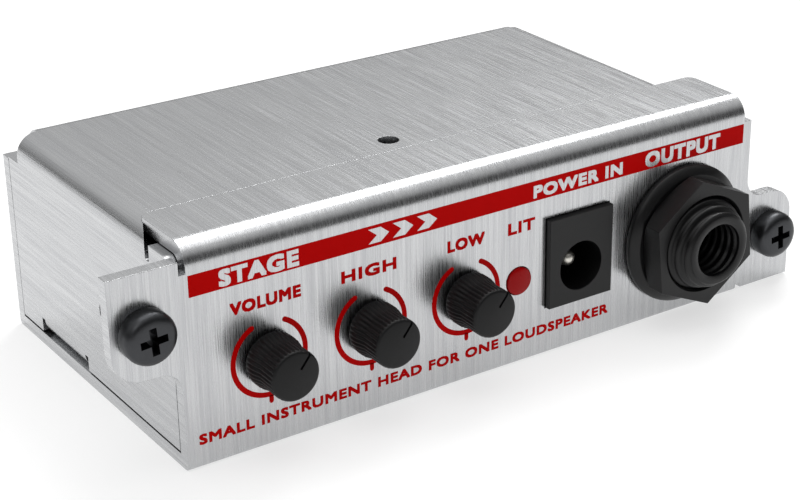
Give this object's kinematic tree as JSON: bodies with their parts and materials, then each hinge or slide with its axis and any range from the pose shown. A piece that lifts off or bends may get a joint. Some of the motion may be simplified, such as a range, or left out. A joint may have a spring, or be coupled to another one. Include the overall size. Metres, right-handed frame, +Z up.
{
  "type": "guitar amplifier head",
  "caption": "Palm-size folded-aluminium guitar amplifier head with panel ears, fluted level, presence and resonance knobs, a lamp, a power socket and 6.35 mm jacks.",
  "frame": {"origin": "on the underside, midway between the front and rear panels, centred on the front panel's width", "axes": "+Z up, the front panel with its knobs faces -Y, +X to the right seen from the front"},
  "size_m": [0.0956, 0.0588, 0.0262],
  "materials": {
    "brushed_aluminium": "brushed",
    "plain_aluminium": "satin",
    "knob_plastic": "matte",
    "jack_plastic": "satin",
    "nut_plastic": "satin",
    "pot_case": "matte",
    "black_screw": "black oxide",
    "steel": "satin",
    "tinned": "tinned",
    "lamp_red": "gloss",
    "nickel": "bright",
    "spring_bronze": "satin",
    "board_green": "satin",
    "chip_epoxy": "matte",
    "capacitor_sleeve": "gloss",
    "film_cap": "gloss",
    "resistor_body": "gloss",
    "choke_core": "matte",
    "trimmer_blue": "gloss",
    "trimmer_brass": "satin"
  },
  "bodies": {
    "case": {"amp_chip": "chip_epoxy", "amp_chip_leads": "tinned", "amp_chip_screw": "steel", "board_screws": "steel", "board_standoffs": "steel", "chassis": "brushed_aluminium", "circuit_board": "board_green", "cover_nuts": "steel", "cover_screws": "steel", "dc_centre_pin": "nickel", "dc_sleeve_spring": "spring_bronze", "dc_socket_housing": "jack_plastic", "ear_screws": "black_screw", "electrolytic_capacitors": "capacitor_sleeve", "film_capacitors": "film_cap", "heat_spreader": "plain_aluminium", "input_jack_body": "jack_plastic", "input_jack_nut": "nut_plastic", "input_jack_washer": "nut_plastic", "input_sleeve_contact": "spring_bronze", "input_tip_contact": "spring_bronze", "led_leads": "tinned", "level_pot_body": "pot_case", "output_jack_body": "jack_plastic", "output_jack_nut": "nut_plastic", "output_jack_washer": "nut_plastic", "output_sleeve_contact": "spring_bronze", "output_tip_contact": "spring_bronze", "pot_terminals": "tinned", "power_led": "lamp_red", "presence_pot_body": "pot_case", "resistors": "resistor_body", "resonance_pot_body": "pot_case", "signal_chips": "chip_epoxy", "supply_choke": "choke_core", "top_cover": "brushed_aluminium", "trimmer_body": "trimmer_blue"},
    "trim_rotor": {"trimmer_rotor": "trimmer_brass"},
    "level_control": {"level_knob": "knob_plastic", "level_shaft": "steel"},
    "presence_control": {"presence_knob": "knob_plastic", "presence_shaft": "steel"},
    "resonance_control": {"resonance_knob": "knob_plastic", "resonance_shaft": "steel"}
  },
  "joints": [
    {"name": "level_turn", "type": "hinge", "parent": "case", "child": "level_control", "pos_m": [-0.0295, -0.02225, 0.0108], "axis": [0, 1, 0], "range_deg": [-7, 293]},
    {"name": "presence_turn", "type": "hinge", "parent": "case", "child": "presence_control", "pos_m": [-0.0165, -0.02225, 0.0108], "axis": [0, 1, 0], "range_deg": [-7, 293]},
    {"name": "resonance_turn", "type": "hinge", "parent": "case", "child": "resonance_control", "pos_m": [-0.0035, -0.02225, 0.0108], "axis": [0, 1, 0], "range_deg": [-7, 293]},
    {"name": "trim_turn", "type": "hinge", "parent": "case", "child": "trim_rotor", "pos_m": [-0.005, -0.00865, 0.007], "axis": [0, 0, 1], "range_deg": [-130, 130]}
  ]
}
